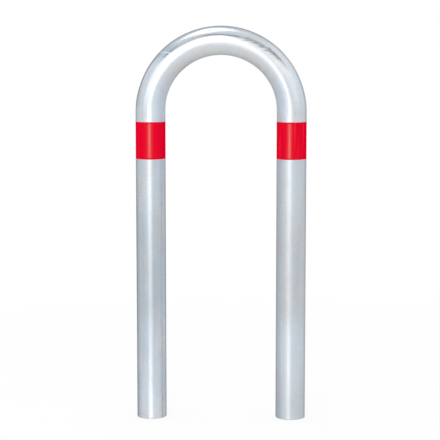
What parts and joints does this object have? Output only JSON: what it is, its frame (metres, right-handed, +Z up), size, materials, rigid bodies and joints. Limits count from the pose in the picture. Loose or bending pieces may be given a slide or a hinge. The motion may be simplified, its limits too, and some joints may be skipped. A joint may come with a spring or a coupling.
{
  "type": "guard hoop",
  "caption": "Inverted-U guard hoop of cold-bent galvanised steel tube with a red reflective band round each leg, set in the ground to shield a charging point.",
  "frame": {"origin": "level with the cut feet, midway between the axes of the two legs", "axes": "+Z up along the legs, +X towards the right leg seen from the front, +Y towards the back"},
  "size_m": [0.3456, 0.0616, 0.8],
  "materials": {
    "galvanised_steel": "hot-dip galvanised, satin, with faint streaks and spangle",
    "red_reflective_film": "glossy retroreflective film"
  },
  "bodies": {
    "root": {"hoop_tube": "galvanised_steel", "left_reflective_band": "red_reflective_film", "right_reflective_band": "red_reflective_film"}
  },
  "joints": []
}
